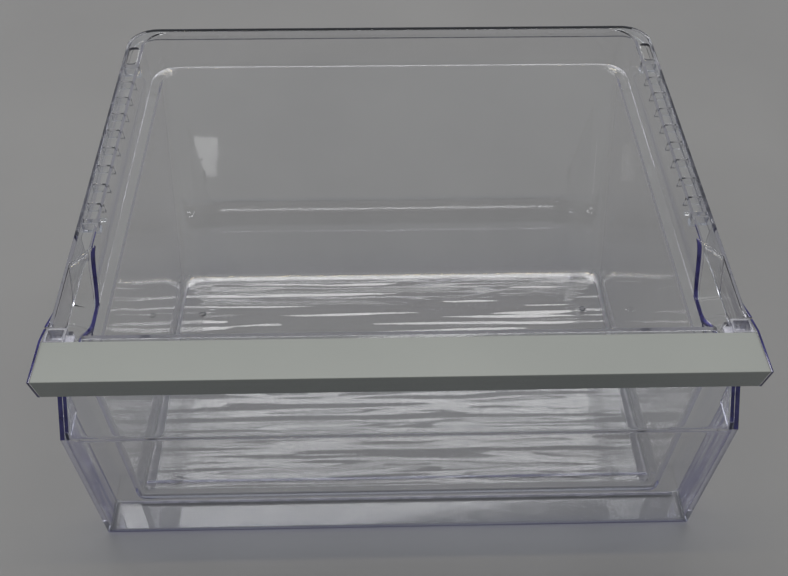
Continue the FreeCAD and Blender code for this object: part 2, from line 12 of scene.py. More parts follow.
# %% Load the frame
import math

import bmesh
import bpy
from mathutils import Matrix, Vector


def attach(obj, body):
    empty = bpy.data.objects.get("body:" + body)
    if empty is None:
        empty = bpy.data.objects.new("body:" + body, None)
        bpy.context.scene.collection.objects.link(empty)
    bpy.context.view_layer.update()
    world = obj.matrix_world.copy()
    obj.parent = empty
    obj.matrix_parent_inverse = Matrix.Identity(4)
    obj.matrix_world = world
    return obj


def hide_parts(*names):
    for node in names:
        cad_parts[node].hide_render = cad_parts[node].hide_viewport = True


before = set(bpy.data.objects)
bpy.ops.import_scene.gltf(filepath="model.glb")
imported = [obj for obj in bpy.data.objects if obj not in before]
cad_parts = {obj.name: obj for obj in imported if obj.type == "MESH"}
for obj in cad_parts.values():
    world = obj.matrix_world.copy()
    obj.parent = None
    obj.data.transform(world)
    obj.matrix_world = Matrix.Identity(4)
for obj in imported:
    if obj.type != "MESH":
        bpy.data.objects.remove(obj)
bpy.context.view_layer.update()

print("CAD nodes:", ", ".join(sorted(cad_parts)))

# %% [markdown]
# The drawing counts Y from the front face of the cover, while the frame has its origin under
# the middle of the drawer. One helper takes a place in the drawing and gives the same place
# in the frame, in metres. Every other helper goes through it. Two places that are less than
# a hair apart count as the same place.

# %% Places
MM = 0.001
DEPTH = 359.0
HAIR = 0.01


def at(x, y, z):
    return Vector((x, y - DEPTH / 2, z)) * MM


def mm(point):
    """The other way round: a place in the frame, in the drawing's millimetres."""
    return Vector((point.x / MM, point.y / MM + DEPTH / 2, point.z / MM))


print("front face of the cover, in the frame:", at(0, 0, 0))

# %% [markdown]
# ## Hand tools
#
# Operators act on whatever is selected, and a freshly loaded frame has all its parts
# selected. So each step starts by selecting nothing, and edit mode then picks corners, edges
# or faces by their place or by the way they face.

# %% Select nothing, or one piece alone
def put_down_all():
    if bpy.context.mode != "OBJECT":
        bpy.ops.object.mode_set(mode="OBJECT")
    bpy.ops.object.select_all(action="DESELECT")


def take(piece, mode="OBJECT"):
    put_down_all()
    piece.select_set(True)
    bpy.context.view_layer.objects.active = piece
    bpy.ops.object.mode_set(mode=mode)


# %% Pick corners, edges or faces in edit mode
SELECT_MODES = {"verts": "VERT", "edges": "EDGE", "faces": "FACE"}


def pick(kind, test):
    """Select what passes a test, and nothing else. The test gets the item itself."""
    bpy.ops.mesh.select_mode(type=SELECT_MODES[kind])
    bpy.ops.mesh.select_all(action="DESELECT")
    mesh = bmesh.from_edit_mesh(bpy.context.edit_object.data)
    found = [item for item in getattr(mesh, kind) if test(item)]
    for item in found:
        item.select_set(True)
    mesh.select_flush_mode()
    bmesh.update_edit_mesh(bpy.context.edit_object.data)
    return len(found)


def middle(item):
    """The middle of an edge or a face, in the drawing's millimetres."""
    total = sum((corner.co for corner in item.verts), Vector())
    return mm(total / len(item.verts))


def at_level(level):
    """A test for edges or faces: do all their corners lie at this level?"""
    return lambda item: all(abs(mm(vert.co).z - level) < HAIR for vert in item.verts)


def slide(x, y, z):
    """Move what is picked."""
    bpy.ops.transform.translate(value=Vector((x, y, z)) * MM)


# %% [markdown]
# Most of the drawer's parts are bars of one section: a strip, a web, a rib or a lip. A bar is
# drawn as by hand. One corner is pulled round the section, the outline is filled, and the
# face is pulled out to the bar's length.

# %% Start with one corner, and end with a skin that faces outwards
def one_corner(name, place):
    """A new piece that is a single corner, in edit mode."""
    put_down_all()
    bpy.ops.mesh.primitive_plane_add(size=MM, location=place)
    piece = bpy.context.object
    piece.name = name
    bpy.ops.object.transform_apply(location=True, rotation=True, scale=True)
    bpy.ops.object.mode_set(mode="EDIT")
    bpy.ops.mesh.select_mode(type="VERT")
    bpy.ops.mesh.select_all(action="SELECT")
    bpy.ops.mesh.merge(type="CENTER")
    return piece


def face_outwards():
    """Let the whole skin face outwards, and leave edit mode."""
    bpy.ops.mesh.select_all(action="SELECT")
    bpy.ops.mesh.normals_make_consistent(inside=False)
    bpy.ops.object.mode_set(mode="OBJECT")


# %% A bar with any section
def bar(name, outline, axis, low, high):
    def corner(pair, along):
        first, second = pair
        orders = {"X": (along, first, second), "Y": (first, along, second), "Z": (first, second, along)}
        return at(*orders[axis])

    spots = [corner(pair, low) for pair in outline]
    piece = one_corner(name, spots[0])
    for here, there in zip(spots, spots[1:]):
        bpy.ops.mesh.extrude_vertices_move(TRANSFORM_OT_translate={"value": there - here})
    bpy.ops.mesh.select_all(action="SELECT")
    bpy.ops.mesh.edge_face_add()
    bpy.ops.mesh.select_mode(type="FACE")
    length = corner(outline[0], high) - spots[0]
    bpy.ops.mesh.extrude_region_move(TRANSFORM_OT_translate={"value": length})
    face_outwards()
    return piece


def block(name, x, y, z):
    """A plain bar between three pairs of limits."""
    (x0, x1), (y0, y1), (z0, z1) = sorted(x), sorted(y), sorted(z)
    return bar(name, [(x0, y0), (x1, y0), (x1, y1), (x0, y1)], "Z", z0, z1)


# %% [markdown]
# Moulded plastic is one body, so parts that overlap have to be joined into one skin. If they
# only overlapped, light would bend at every hidden face between them. A boolean modifier
# joins two closed shapes, or cuts one out of the other, and is applied at once.

# %% Join and cut closed shapes
def combine(piece, tool, operation):
    take(piece)
    bpy.ops.object.modifier_add(type="BOOLEAN")
    change = piece.modifiers[-1]
    change.operation = operation
    change.solver = "MANIFOLD"
    change.object = tool
    bpy.ops.object.modifier_apply(modifier=change.name)
    bpy.data.objects.remove(tool, do_unlink=True)


def join(piece, *tools):
    for tool in tools:
        combine(piece, tool, "UNION")


def cut(piece, tool):
    combine(piece, tool, "DIFFERENCE")


def tidy_mesh(piece):
    """Close up the hair-thin slivers that joins can leave."""
    take(piece, "EDIT")
    bpy.ops.mesh.select_mode(type="VERT")
    bpy.ops.mesh.select_all(action="SELECT")
    bpy.ops.mesh.remove_doubles(threshold=HAIR * MM)
    bpy.ops.mesh.dissolve_degenerate(threshold=HAIR * MM)
    bpy.ops.mesh.select_all(action="SELECT")
    bpy.ops.mesh.delete_loose()
    bpy.ops.object.mode_set(mode="OBJECT")


SHARP = math.radians(35)


def round_edges(piece, width):
    """Round all sharp edges a little."""
    tidy_mesh(piece)
    bpy.ops.object.modifier_add(type="BEVEL")
    change = piece.modifiers[-1]
    change.width = width * MM
    change.segments = 2
    change.limit_method = "ANGLE"
    change.angle_limit = SHARP
    change.use_clamp_overlap = False
    change.miter_outer = "MITER_ARC"
    bpy.ops.object.modifier_apply(modifier=change.name)


def smooth_faces(piece):
    """Shade the rounds smooth, and wide faces as flat as they are."""
    take(piece)
    bpy.ops.object.shade_smooth_by_angle(angle=SHARP)
    bpy.ops.object.modifier_add(type="WEIGHTED_NORMAL")
    change = piece.modifiers[-1]
    change.keep_sharp = True
    change.weight = 100
    bpy.ops.object.modifier_apply(modifier=change.name)
    print(piece.name, "has", len(piece.data.polygons), "faces")
    return piece


def soften(piece, width):
    round_edges(piece, width)
    return smooth_faces(piece)


# %% [markdown]
# ## The tub
#
# The tub is moulded in one shot: a bin whose back wall leans far back, a ledge all round,
# an upper band, and a wide rim. The bin's skin is built up like a stack of outlines. A flat
# plate gets round corners, its outline is pulled up level by level, and at each level the
# four corners are moved in or out. The corners keep their radius, because each is moved
# whole. The same way gives the outside and the inside, and cutting one out of the other
# leaves the wall.

# %% Sizes of the bin
WALL = 2.5
BIN_FRONT = 24.0
FLOOR_FRONT_ROUND = 11.0
FLOOR_FRONT = BIN_FRONT + WALL + FLOOR_FRONT_ROUND
FLOOR_SIDE_ROUND = 3.0
FLOOR_BACK_ROUND = 12.0
FLOOR_HALF_FRONT = 185.5
FLOOR_HALF_BACK = 180.5
FLOOR_BACK = 238.7
FLOOR_CORNER_FRONT = 5
FLOOR_CORNER_BACK = 14
BACK_LEAN = math.radians(35)
LEDGE_LEVEL = 146.5
LEDGE_HALF_FRONT = 191
LEDGE_HALF_BACK = 190
BAND_FOOT = LEDGE_LEVEL + WALL
BAND_HALF = 198.2
BAND_BACK = 350
BAND_CORNER_BACK = 18
RIM_LEVEL = 180.2
RIM_HALF = BAND_HALF + 1.3
RIM_BACK = 355
CREASE_LEVEL = 123.0
HOOD_LEVEL = 176.8
FLANGE_FRONT = 44.3
FLANGE_HALF = 213.4
FLANGE_CORNER = 22
ROUND_STEPS = 8
CORNER_STEPS = 8

# %% Outline levels
MIDDLE_LINE = 150.0


def top_level():
    mesh = bmesh.from_edit_mesh(bpy.context.edit_object.data)
    return max(mm(vert.co).z for vert in mesh.verts)


def shift_corner(side, back, half, along, radius_scale):
    """Move one round corner of the top outline as a whole."""
    def in_corner(vert):
        place = mm(vert.co)
        return abs(place.z - top) < HAIR and place.x * side > 0 and (place.y > MIDDLE_LINE) == back

    top = top_level()
    mesh = bmesh.from_edit_mesh(bpy.context.edit_object.data)
    places = [mm(vert.co) for vert in mesh.verts if in_corner(vert)]
    reach = max(place.x * side for place in places)
    edge = max(place.y for place in places) if back else min(place.y for place in places)
    pick("verts", in_corner)
    if radius_scale != 1:
        pivot = at(side * reach, edge, top)
        bpy.ops.transform.resize(value=(radius_scale, radius_scale, 1), center_override=pivot)
    slide(side * (half - reach), along - edge, 0)


def next_level(level, half_front, half_back, near, far, back_radius_scale=1):
    """Pull the top outline up to a new level and set its four corners."""
    top = top_level()
    pick("edges", at_level(top))
    bpy.ops.mesh.extrude_edges_move(TRANSFORM_OT_translate={"value": (0, 0, (level - top) * MM)})
    for side in (-1, 1):
        shift_corner(side, False, half_front, near, 1)
        shift_corner(side, True, half_back, far, back_radius_scale)


def plate(name, level, half_front, half_back, near, far, front_radius, back_radius):
    """A flat face with four round corners, left in edit mode."""
    put_down_all()
    bpy.ops.mesh.primitive_plane_add(size=2 * MM, location=at(0, MIDDLE_LINE, level))
    piece = bpy.context.object
    piece.name = name
    bpy.ops.object.transform_apply(location=True, rotation=True, scale=True)
    bpy.ops.object.mode_set(mode="EDIT")
    for side in (-1, 1):
        shift_corner(side, False, half_front, near, 1)
        shift_corner(side, True, half_back, far, 1)
    for back, radius in ((False, front_radius), (True, back_radius)):
        if radius:
            pick("verts", lambda vert: (mm(vert.co).y > MIDDLE_LINE) == back)
            bpy.ops.mesh.bevel(offset=radius * MM, segments=CORNER_STEPS, affect="VERTICES")
    return piece


def close_top():
    pick("edges", at_level(top_level()))
    bpy.ops.mesh.edge_face_add()
    face_outwards()


# %% [markdown]
# The floor turns into each wall through a round of its own: a wide one in front, a tight one
# at the sides and a wide one at the back, where the wall then leans away. The levels follow
# the front round in equal steps of its arc, and the other rounds are worked out for the same
# levels.

# %% One skin of the bin
def bin_skin(name, grow, top):
    front = FLOOR_FRONT_ROUND + grow
    side = FLOOR_SIDE_ROUND + grow
    back = FLOOR_BACK_ROUND + grow
    bend_top = back * (1 - math.sin(BACK_LEAN))

    def outline(rise):
        front_in = math.sqrt(front ** 2 - max(front - rise, 0) ** 2)
        side_out = math.sqrt(side ** 2 - max(side - rise, 0) ** 2)
        back_out = math.sqrt(back ** 2 - (back - min(rise, bend_top)) ** 2)
        near = FLOOR_FRONT - front_in
        far = FLOOR_BACK + back_out + max(rise - bend_top, 0) * math.tan(BACK_LEAN)
        return FLOOR_HALF_FRONT + side_out, FLOOR_HALF_BACK + side_out, near, far

    base = WALL - grow
    piece = plate(name, base, *outline(0), FLOOR_CORNER_FRONT + grow, FLOOR_CORNER_BACK + grow)
    for step in range(1, ROUND_STEPS + 1):
        rise = front * (1 - math.cos(math.pi / 2 * step / ROUND_STEPS))
        next_level(base + rise, *outline(rise))
    ledge = LEDGE_LEVEL - WALL + grow * 0.2
    near, far = outline(ledge)[2:]
    next_level(base + ledge, LEDGE_HALF_FRONT + grow, LEDGE_HALF_BACK + grow, near, far)
    foot = BAND_FOOT - grow * 0.8
    wider = BAND_CORNER_BACK / FLOOR_CORNER_BACK
    next_level(foot, BAND_HALF + grow, BAND_HALF + grow, near, BAND_BACK + grow, wider)
    next_level(top, RIM_HALF + grow, RIM_HALF + grow, near, RIM_BACK + grow)
    close_top()
    return piece


tub = bin_skin("clear_tub", WALL, RIM_LEVEL)
bin_space = bin_skin("bin_space", 0, RIM_LEVEL + 0.3)
outside_faces = len(tub.data.polygons)
print("outside and inside of the bin:", outside_faces, "and", len(bin_space.data.polygons), "faces")

# %% [markdown]
# The clear floor isn't quite flat. Its top has low ripples that run across the drawer, and
# they show as long bright streaks. They have to be in the mesh, so the bottom of the inside
# shape is cut into narrow strips, and a displace modifier moves them up and down. Its noise
# is stretched across the drawer by an empty, which goes away again when it is done.

# %% Ripples in the floor
RIPPLE_HEIGHT = 0.55
RIPPLE_ORIGIN = 140
RIPPLE_STRETCH = (0.2, 0.0088, 0.05)
STRIP = 1.7
STRIP_ACROSS = 12.0
on_floor = at_level(WALL)
take(bin_space, "EDIT")
strip_count = int((FLOOR_BACK - FLOOR_FRONT) / STRIP)
for index in range(1, strip_count):
    pick("faces", on_floor)
    bpy.ops.mesh.bisect(plane_co=at(0, FLOOR_FRONT + index * STRIP, WALL), plane_no=(0, 1, 0))
across_count = int(FLOOR_HALF_FRONT / STRIP_ACROSS)
for index in range(-across_count, across_count + 1):
    pick("faces", on_floor)
    bpy.ops.mesh.bisect(plane_co=at(index * STRIP_ACROSS, 0, WALL), plane_no=(1, 0, 0))


def inside_floor(vert):
    return all(on_floor(face) for face in vert.link_faces)


ripple_spots = pick("verts", inside_floor)
bpy.ops.object.vertex_group_add()
bpy.ops.object.vertex_group_assign()
bpy.ops.object.mode_set(mode="OBJECT")
bpy.ops.object.empty_add(location=at(0, RIPPLE_ORIGIN, 0))
ripple_space = bpy.context.object
ripple_space.scale = RIPPLE_STRETCH
bpy.context.view_layer.update()
ripple_noise = bpy.data.textures.new("floor_ripples", "CLOUDS")
ripple_noise.noise_scale = 0.7
ripple_noise.noise_depth = 1
take(bin_space)
bpy.ops.object.modifier_add(type="DISPLACE")
ripple = bin_space.modifiers[-1]
ripple.texture = ripple_noise
ripple.texture_coords = "OBJECT"
ripple.texture_coords_object = ripple_space
ripple.vertex_group = bin_space.vertex_groups[0].name
ripple.direction = "Z"
ripple.mid_level = 0.5
ripple.strength = RIPPLE_HEIGHT * MM * 2
bpy.ops.object.modifier_apply(modifier=ripple.name)
bpy.ops.object.vertex_group_remove(all=True)
bpy.data.objects.remove(ripple_space, do_unlink=True)
print("ripples move", ripple_spots, "corners of the floor")

# %% [markdown]
# ### Rim, front plate and hollow
#
# The rim is a lid shape: a plate with round back corners and a lip that hangs from its edge.
# It is pulled down, its underside is inset by the lip's thickness, and the middle is pushed
# back up. The front plate is wider than the bin, and the cover closes around it.

# %% The rim with its lip
FLANGE_THICK = 2.2
LIP_THICK = 2.2
LIP_DROP = 9.0
LIP_FOOT = RIM_LEVEL - LIP_DROP
rim = plate("rim", RIM_LEVEL, FLANGE_HALF, FLANGE_HALF, FLANGE_FRONT, DEPTH, 0, FLANGE_CORNER)
bpy.ops.mesh.select_mode(type="FACE")
bpy.ops.mesh.select_all(action="SELECT")
bpy.ops.mesh.extrude_region_move(TRANSFORM_OT_translate={"value": (0, 0, -LIP_DROP * MM)})
bpy.ops.mesh.inset(thickness=LIP_THICK * MM)
bpy.ops.mesh.extrude_region_move(TRANSFORM_OT_translate={"value": (0, 0, (LIP_DROP - FLANGE_THICK) * MM)})
face_outwards()

# %% The front plate
PLATE_HALF_BASE = 205.7
PLATE_HALF = 208.7
PLATE_BASE = 3.3
PLATE_TOP = HOOD_LEVEL - 0.3
LOW_CORNER = 5


def tray_section(half_base, half, base, top):
    """The outline of the plate and of the cover, which both widen up to the crease."""
    return [(-half_base, base), (half_base, base), (half, CREASE_LEVEL), (half, top), (-half, top),
            (-half, CREASE_LEVEL)]


plate_outline = tray_section(PLATE_HALF_BASE, PLATE_HALF, PLATE_BASE, PLATE_TOP)
front_plate = bar("front_plate", plate_outline, "Y", BIN_FRONT, BIN_FRONT + WALL)


def round_low_corners(piece, level, radius):
    """Round the two edges that run from front to back at the bottom corners."""
    def runs_back(edge):
        return at_foot(edge) and abs(edge.verts[0].co.x - edge.verts[1].co.x) < 0.1 * MM

    at_foot = at_level(level)
    take(piece, "EDIT")
    pick("edges", runs_back)
    bpy.ops.mesh.bevel(offset=radius * MM, segments=CORNER_STEPS, affect="EDGES")
    bpy.ops.object.mode_set(mode="OBJECT")


round_low_corners(front_plate, PLATE_BASE, LOW_CORNER)

# %% Join them and hollow the bin out
WIDE = 260
HIGH = 200
join(tub, rim, front_plate)
cut(tub, block("lowered_walls", (-WIDE, WIDE), (0, FLANGE_FRONT), (PLATE_TOP, HIGH)))
cut(tub, bin_space)
open_half = BAND_HALF + WALL / 2
bar_depth = (FLANGE_FRONT - 0.3, FLANGE_FRONT + LIP_THICK + 0.3)
cut(tub, block("front_bar", (-open_half, open_half), bar_depth, (LIP_FOOT, HIGH)))
print("hollow tub:", len(tub.data.polygons), "faces")

# %% [markdown]
# ### Dips behind the handle
#
# Each rim drops behind the handle in a soft S curve, so that fingers can reach in. The drop
# is deeper at the inner edge than at the outer one. A strip is pulled forward step by step
# along the two curves. Pulled up, it becomes the space that is cut away. Given a thickness,
# it becomes the new floor of the dip.

# %% Curves of the dip
DIP_START = 113.0
INNER_DIP = ((DIP_START, 84.0, RIM_LEVEL, 148.5), (74.0, FLANGE_FRONT, 148.5, 162.5))
OUTER_DIP = ((96.0, 78.0, RIM_LEVEL, 159.0), (67.0, FLANGE_FRONT, 159.0, 167.0))
DIP_INNER = 197.9
DIP_OUTER = 211.2
DIP_STEPS = 20
DIP_CUT = 45
BURIED = 0.6


def dip_line(waves):
    """Half a cosine wave down, a flat part, and half a wave up."""
    line = []
    for start, end, high, low in waves:
        for step in range(DIP_STEPS + 1):
            share = step / DIP_STEPS
            fall = (1 - math.cos(math.pi * share)) / 2
            line.append((start + (end - start) * share, high + (low - high) * fall))
    return line


def dip_strip(name, side, outer_edge, lowered=0, overshoot=0):
    def edge_line(across, waves):
        line = dip_line(waves)
        if overshoot:
            line.append((line[-1][0] - overshoot, line[-1][1]))
        return [at(side * across, y, z - lowered) for y, z in line]

    inner = edge_line(DIP_INNER, INNER_DIP)
    outer = edge_line(outer_edge, OUTER_DIP)
    piece = one_corner(name, inner[0])
    bpy.ops.mesh.extrude_vertices_move(TRANSFORM_OT_translate={"value": outer[0] - inner[0]})
    for index in range(1, len(inner)):
        near = (outer[index - 1], inner[index - 1])
        pick("verts", lambda vert: min((vert.co - spot).length for spot in near) < HAIR * MM)
        bpy.ops.mesh.select_mode(type="EDGE")
        bpy.ops.mesh.extrude_edges_move(TRANSFORM_OT_translate={"value": inner[index] - inner[index - 1]})
        pulled = outer[index - 1] + inner[index] - inner[index - 1]
        pick("verts", lambda vert: (vert.co - pulled).length < HAIR * MM)
        bpy.ops.transform.translate(value=outer[index] - pulled)
    bpy.ops.mesh.select_all(action="SELECT")
    bpy.ops.mesh.remove_doubles(threshold=HAIR / 2 * MM)
    return piece


def pull_all(height):
    """Give a strip a height, and face it outwards."""
    bpy.ops.mesh.select_mode(type="FACE")
    bpy.ops.mesh.select_all(action="SELECT")
    bpy.ops.mesh.extrude_region_move(TRANSFORM_OT_translate={"value": (0, 0, height * MM)})
    face_outwards()


for side in (-1, 1):
    space = dip_strip("dip_space", side, DIP_OUTER, BURIED, BURIED)
    pull_all(DIP_CUT)
    cut(tub, space)
for side in (-1, 1):
    dip_floor = dip_strip("dip_floor", side, DIP_OUTER + BURIED)
    pull_all(-FLANGE_THICK)
    join(tub, dip_floor)
print("dips cut, tub now has", len(tub.data.polygons), "faces")

# %% [markdown]
# ### Small features of the rim
#
# Under each rim stand eight ribs and two end walls, and a hook looks inwards behind the dip.
# A cheek stands outside each dip, with a gusset at its front end. Each feature is a short bar
# that reaches a little into its neighbours, so that the join has no hairline gap.

# %% Ribs, walls, hooks, cheeks and gussets
RIB_COUNT = 8
RIB_FIRST = 152.0
RIB_PITCH = 19.5
RIB_THICK = 1.6
END_WALLS = (133.0, 306.4)
END_WALL_THICK = 5
END_WALL_FOOT = LIP_FOOT - 1.1
HOOK_INSIDE = 195.2
HOOK_DEPTH = (135.5, 138)
CHEEK_BACK = 126
CHEEK_FOOT = 156.8
GUSSET_BACK = 55.3
GUSSET_FOOT = 167
rib_inside = BAND_HALF + WALL - BURIED
rib_outside = FLANGE_HALF - LIP_THICK + BURIED
under_rim = RIM_LEVEL - FLANGE_THICK + BURIED
for side in (-1, 1):
    span = (side * rib_inside, side * rib_outside)
    for index in range(RIB_COUNT):
        near = RIB_FIRST + index * RIB_PITCH
        join(tub, block("rib", span, (near, near + RIB_THICK), (LIP_FOOT, under_rim)))
    for near in END_WALLS:
        join(tub, block("end_wall", span, (near, near + END_WALL_THICK), (END_WALL_FOOT, under_rim)))
    hook_span = (side * HOOK_INSIDE, side * (BAND_HALF + WALL))
    join(tub, block("hook", hook_span, HOOK_DEPTH, (RIM_LEVEL - FLANGE_THICK, RIM_LEVEL)))
    cheek_span = (side * (FLANGE_HALF - LIP_THICK), side * FLANGE_HALF)
    join(tub, block("cheek", cheek_span, (FLANGE_FRONT, CHEEK_BACK), (CHEEK_FOOT, RIM_LEVEL)))
    gusset = [(side * 214.0, FLANGE_FRONT), (side * 216.2, FLANGE_FRONT),
              (side * FLANGE_HALF, GUSSET_BACK), (side * 212.3, GUSSET_BACK)]
    join(tub, bar("gusset", gusset, "Z", GUSSET_FOOT, RIM_LEVEL))
print("rim finished, tub now has", len(tub.data.polygons), "faces")

# %% [markdown]
# ### Marks on the floor
#
# The mould left four small round marks on the floor. Each is a low disc with a dimple in its
# top: a cylinder whose top is inset and pushed down.

# %% Round marks
MARK_RADIUS = 2.75
MARK_TOP = WALL + 0.75
MARKS_ACROSS = 163.1
MARKS_ALONG = (43.9, 200.8)


def floor_mark(x, y):
    put_down_all()
    bpy.ops.mesh.primitive_cylinder_add(vertices=24, radius=MARK_RADIUS * MM, depth=2 * MM,
                                        location=at(x, y, MARK_TOP - 1))
    piece = bpy.context.object
    bpy.ops.object.transform_apply(location=True, rotation=True, scale=True)
    bpy.ops.object.mode_set(mode="EDIT")
    pick("faces", lambda face: face.normal.z > 0.9)
    bpy.ops.mesh.inset(thickness=0.7 * MM)
    bpy.ops.mesh.inset(thickness=0.5 * MM)
    slide(0, 0, -0.35)
    bpy.ops.object.mode_set(mode="OBJECT")
    return piece


for x in (-MARKS_ACROSS, MARKS_ACROSS):
    for y in MARKS_ALONG:
        join(tub, floor_mark(x, y))

# %% [markdown]
# Now all edges of the tub are rounded. A wide face with inward corners would be filled badly
# once its edges are rounded, so such faces are first split at those corners.

# %% Round the tub's edges
EDGE_ROUND = 0.35
tidy_mesh(tub)
take(tub, "EDIT")
bpy.ops.mesh.select_all(action="SELECT")
bpy.ops.mesh.vert_connect_concave()
round_edges(tub, EDGE_ROUND)

# %% [markdown]
# Behind the ribs each rim has a slot with round corners. A face with a hole in it is hard to
# round cleanly, so the slots are cut last, after the edges are rounded.

# %% Slots
SLOT_ACROSS = (202.6, 210.6)
SLOT_ALONG = (311.4, 333.4)
SLOT_LEVELS = (177, 190)
SLOT_CORNER = 2.7


def slot_space(side):
    across = [side * place for place in SLOT_ACROSS]
    piece = block("slot_space", across, SLOT_ALONG, SLOT_LEVELS)
    take(piece, "EDIT")
    pick("edges", lambda edge: abs(edge.verts[0].co.z - edge.verts[1].co.z) > 10 * MM)
    bpy.ops.mesh.bevel(offset=SLOT_CORNER * MM, segments=6, affect="EDGES")
    bpy.ops.object.mode_set(mode="OBJECT")
    return piece


for side in (-1, 1):
    cut(tub, slot_space(side))

# %% [markdown]
# Some painted marks end in the middle of a face: the painted dark line at the front of the
# floor, the painted dark shade at the ends of the ribs, and the painted violet edge of the
# dips. Flat cuts part those faces here, so that each part can get a finish of its own later
# on.

# %% Part faces for their finishes
def part_faces(piece, axis, *places):
    directions = {"X": (1, 0, 0), "Y": (0, 1, 0), "Z": (0, 0, 1)}
    take(piece, "EDIT")
    for place in places:
        spot = at(*(Vector(directions[axis]) * place))
        bpy.ops.mesh.select_all(action="SELECT")
        bpy.ops.mesh.bisect(plane_co=spot, plane_no=directions[axis])


RIM_WALL = 199.7
RIM_LEAN = 0.01
RIB_DASH = 205.5
VIOLET_END = 125
UNDER_FLANGE = 177.9
FLOOR_LINE = (41.5, 43.6)
part_faces(tub, "X", -RIB_DASH, RIB_DASH)
part_faces(tub, "Y", *FLOOR_LINE, DIP_START, VIOLET_END)
part_faces(tub, "Z", UNDER_FLANGE)
for side in (-1, 1):
    bpy.ops.mesh.select_all(action="SELECT")
    bpy.ops.mesh.bisect(plane_co=at(side * RIM_WALL, 0, BAND_FOOT), plane_no=(side, 0, -RIM_LEAN))
smooth_faces(tub)

# %% [markdown]
# ## The front cover
#
# The cover is a shallow tray that stands on its edge in front of the bin: a front plate, two
# side returns and a bottom return. Above the crease the side returns are cut off along the
# slope of the finger recess, and the front plate is bent back and runs up that slope as a
# sloped panel. It has to be one body with the plate, because light that meets the end of a
# separate plate is trapped in it and leaves a dark line. For the same reason the bend is
# round, with both faces about one centre.

# %% Cover
SLOPE = math.radians(40)
COVER_HALF_BASE = 209
COVER_HALF = 212
COVER_THICK = 3.0
COVER_DEPTH = 27.0
RECESS_BACK = 23.7


def slope_level(along):
    return CREASE_LEVEL + along / math.tan(SLOPE)


cover_outline = tray_section(COVER_HALF_BASE, COVER_HALF, 0, PLATE_TOP)
cover = bar("clear_front_cover", cover_outline, "Y", 0, COVER_DEPTH)
space_outline = tray_section(COVER_HALF_BASE - COVER_THICK, COVER_HALF - COVER_THICK, COVER_THICK, HIGH)
cover_space = bar("cover_space", space_outline, "Y", COVER_THICK, COVER_DEPTH + 13)
round_low_corners(cover_space, COVER_THICK, LOW_CORNER)
cut(cover, cover_space)
slope_outline = [(-3, slope_level(-3)), (RECESS_BACK, slope_level(RECESS_BACK)),
                 (RECESS_BACK, HIGH), (-3, HIGH)]
cut(cover, bar("slope_space", slope_outline, "X", -WIDE, WIDE))

# %% [markdown]
# The sloped panel starts a little below the crease, inside the front plate. Both are rounded
# first, and the plate is then cut away where the bend takes its place.

# %% Sloped panel
PANEL_BACK = 21.1
PANEL_HALF = 206.0
BEND_INSIDE = 3.0
BEND_STEPS = 6
SHEET_BASE = 118
BEND_LEVELS = (119.5, 130)
bend_outside = BEND_INSIDE + COVER_THICK
bend_angle = math.pi / 2 - SLOPE
bend_level = CREASE_LEVEL - bend_outside * math.tan(bend_angle / 2)


def bend(radius):
    """Points on the bend, from the upright plate to the slope."""
    turns = [bend_angle * step / BEND_STEPS for step in range(BEND_STEPS + 1)]
    return [(bend_outside - radius * math.cos(turn), bend_level + radius * math.sin(turn))
            for turn in turns]


panel_drop = COVER_THICK / math.sin(SLOPE)
bent_sheet = [(0, SHEET_BASE), (COVER_THICK, SHEET_BASE)] + bend(BEND_INSIDE)
bent_sheet += [(PANEL_BACK, slope_level(PANEL_BACK) - panel_drop), (PANEL_BACK, slope_level(PANEL_BACK))]
bent_sheet += bend(bend_outside)[::-1]
sloped_panel = bar("sloped_panel", bent_sheet, "X", -PANEL_HALF, PANEL_HALF)
for piece in (cover, sloped_panel):
    round_edges(piece, EDGE_ROUND)
cut(cover, block("bend_space", (-PANEL_HALF, PANEL_HALF), (-1, COVER_THICK + 1), BEND_LEVELS))
join(cover, sloped_panel)

# %% Part the cover's faces
COVER_END = 209.2
SILL_FRONT = 22.8
FRONT_FOOT = 4.4
part_faces(cover, "X", -COVER_END, COVER_END)
part_faces(cover, "Y", COVER_THICK, SILL_FRONT)
part_faces(cover, "Z", FRONT_FOOT)
smooth_faces(cover)

# %% [markdown]
# ## The handle hood
#
# The hood is the clear moulding behind the grey strip. Its back wall closes the finger
# recess, a flat plate on top carries the strip, and lips and a rib hold it to the tub. An
# ear stands at each end of the sloped panel, and thin cheeks cover the strip's cut ends.

# %% Hood
EAR_FRONT = 3.3
EAR_INSIDE = 206.3
EAR_FOOT = 120.6
RECESS_FACE = 21.4
RECESS_FOOT = 146.2
HOOD_FRONT = 5.05
HOOD_HALF = 216.65
HOOD_BACK = 32.7
BACK_HALF = 192.7
REAR_LIP = (36.4, 38.4)
REAR_LIP_FOOT = 167.8
GRIP_RIB = (26.8, 28.6)
GRIP_RIB_FOOT = 169.8
HOOD_WALL = 1.5
FRONT_LIP_FOOT = 163
CHEEK_TOP = 181.9
STRIP_FOOT = 161.5
STRIP_HALF = 215.0
STRIP_BACK = 32.1
TOP = HOOD_LEVEL + 2.0
recess_depth = (RECESS_FACE, RECESS_BACK)
hood = block("clear_handle_hood", (-PLATE_HALF, PLATE_HALF), recess_depth, (RECESS_FOOT, TOP))
top_outline = [(-HOOD_HALF, HOOD_FRONT), (HOOD_HALF, HOOD_FRONT), (HOOD_HALF, HOOD_BACK),
               (BACK_HALF, HOOD_BACK), (BACK_HALF, REAR_LIP[1]), (-BACK_HALF, REAR_LIP[1]),
               (-BACK_HALF, HOOD_BACK), (-HOOD_HALF, HOOD_BACK)]
top_plate = bar("top_plate", top_outline, "Z", HOOD_LEVEL, TOP)
